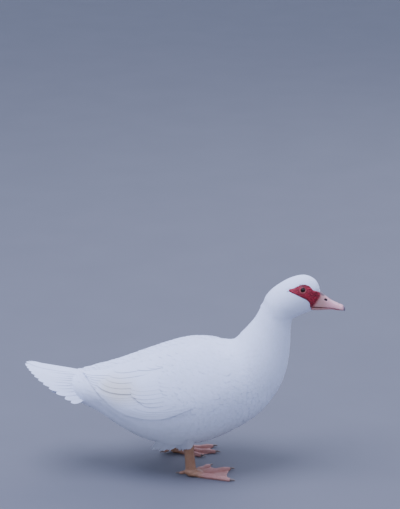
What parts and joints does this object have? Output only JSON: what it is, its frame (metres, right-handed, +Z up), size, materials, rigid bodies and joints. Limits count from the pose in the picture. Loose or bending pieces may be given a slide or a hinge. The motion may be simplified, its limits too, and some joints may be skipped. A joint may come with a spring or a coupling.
{
  "type": "muscovy duck",
  "caption": "Life-size still model of a white muscovy duck hen, standing with her neck raised and her wings folded.",
  "frame": {"origin": "on the floor, under the middle of the bird's length and width", "axes": "+X towards the bill, +Y towards the bird's left side, +Z up"},
  "size_m": [0.5331, 0.1708, 0.339],
  "materials": {
    "plumage": "matt white feathers with a cool cast",
    "bare_skin": "warty red skin, faintly moist",
    "iris": "wet brown eye",
    "bill": "smooth pink skin over horn",
    "leg": "scaly ochre skin",
    "claw": "dull dark horn"
  },
  "bodies": {
    "root": {"torso": "plumage", "neck": "plumage", "head": "plumage", "face": "bare_skin", "eye_left": "iris", "eye_right": "iris", "bill_upper": "bill", "bill_lower": "bill", "tail": "plumage", "wing_left": "plumage", "wing_right": "plumage", "shin_right": "plumage", "shank_right": "leg", "foot_right": "leg", "claw_right_1": "claw", "claw_right_2": "claw", "claw_right_3": "claw", "claw_right_4": "claw", "shin_left": "plumage", "shank_left": "leg", "foot_left": "leg", "claw_left_1": "claw", "claw_left_2": "claw", "claw_left_3": "claw", "claw_left_4": "claw"}
  },
  "joints": []
}
